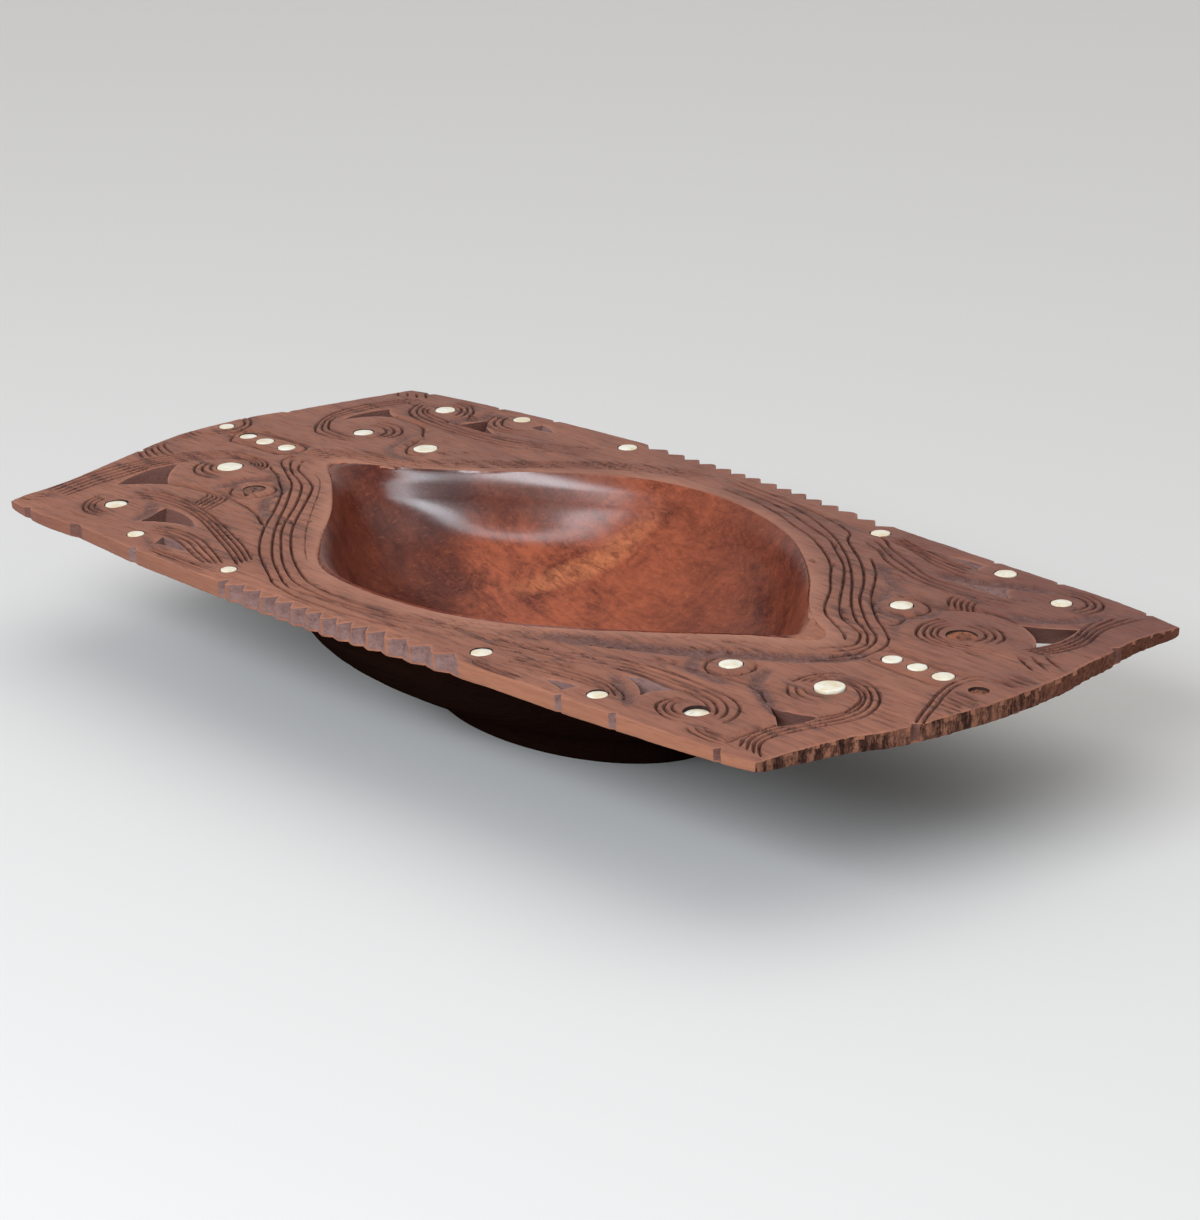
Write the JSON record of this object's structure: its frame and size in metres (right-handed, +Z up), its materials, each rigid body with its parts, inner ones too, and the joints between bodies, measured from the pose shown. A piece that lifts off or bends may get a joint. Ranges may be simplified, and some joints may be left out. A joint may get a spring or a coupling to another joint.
{
  "type": "carved feast bowl",
  "caption": "Shallow lens-shaped wooden bowl with a broad carved and pierced rim, toothed long edges, round shell inlays and an oval foot.",
  "frame": {"origin": "on the flat underside of the foot, straight below the middle of the bowl's mouth", "axes": "+X along the bowl to its right end, +Y across it from the front edge to the back edge, +Z up through the mouth"},
  "size_m": [0.3846, 0.191, 0.0577],
  "materials": {
    "wood": "carved reddish brown hardwood, satin on the rim and polished in the hollow",
    "shell": "cream shell, ground flat and polished",
    "resin": "dark red-brown natural resin"
  },
  "bodies": {
    "root": {"carved_bowl": "wood", "resin_bed_back_left_by_teeth": "resin", "resin_bed_back_left_inner_eye": "resin", "resin_bed_back_left_large_scroll": "resin", "resin_bed_back_left_middle_scroll": "resin", "resin_bed_back_left_small_scroll": "resin", "resin_bed_back_right_by_teeth": "resin", "resin_bed_back_right_inner_eye": "resin", "resin_bed_back_right_middle_scroll": "resin", "resin_bed_back_right_small_scroll": "resin", "resin_bed_front_left_by_teeth": "resin", "resin_bed_front_left_large_scroll": "resin", "resin_bed_front_left_middle_scroll": "resin", "resin_bed_front_left_small_scroll": "resin", "resin_bed_front_right_by_teeth": "resin", "resin_bed_front_right_inner_eye": "resin", "resin_bed_front_right_large_scroll": "resin", "resin_bed_front_right_middle_scroll": "resin", "resin_bed_front_right_small_scroll": "resin", "resin_bed_left_at_tip": "resin", "resin_bed_left_row_inner": "resin", "resin_bed_left_row_middle": "resin", "resin_bed_left_row_outer": "resin", "resin_bed_right_row_inner": "resin", "resin_bed_right_row_middle": "resin", "resin_bed_right_row_outer": "resin", "resin_lump_back_right_large_scroll": "resin", "resin_lump_front_left_inner_eye": "resin", "resin_lump_right_at_tip": "resin", "shell_back_left_by_teeth": "shell", "shell_back_left_inner_eye": "shell", "shell_back_left_large_scroll": "shell", "shell_back_left_middle_scroll": "shell", "shell_back_left_small_scroll": "shell", "shell_back_right_by_teeth": "shell", "shell_back_right_inner_eye": "shell", "shell_back_right_middle_scroll": "shell", "shell_back_right_small_scroll": "shell", "shell_front_left_by_teeth": "shell", "shell_front_left_large_scroll": "shell", "shell_front_left_middle_scroll": "shell", "shell_front_left_small_scroll": "shell", "shell_front_right_by_teeth": "shell", "shell_front_right_inner_eye": "shell", "shell_front_right_large_scroll": "shell", "shell_front_right_middle_scroll": "shell", "shell_front_right_small_scroll": "shell", "shell_left_at_tip": "shell", "shell_left_row_inner": "shell", "shell_left_row_middle": "shell", "shell_left_row_outer": "shell", "shell_right_row_inner": "shell", "shell_right_row_middle": "shell", "shell_right_row_outer": "shell"}
  },
  "joints": []
}
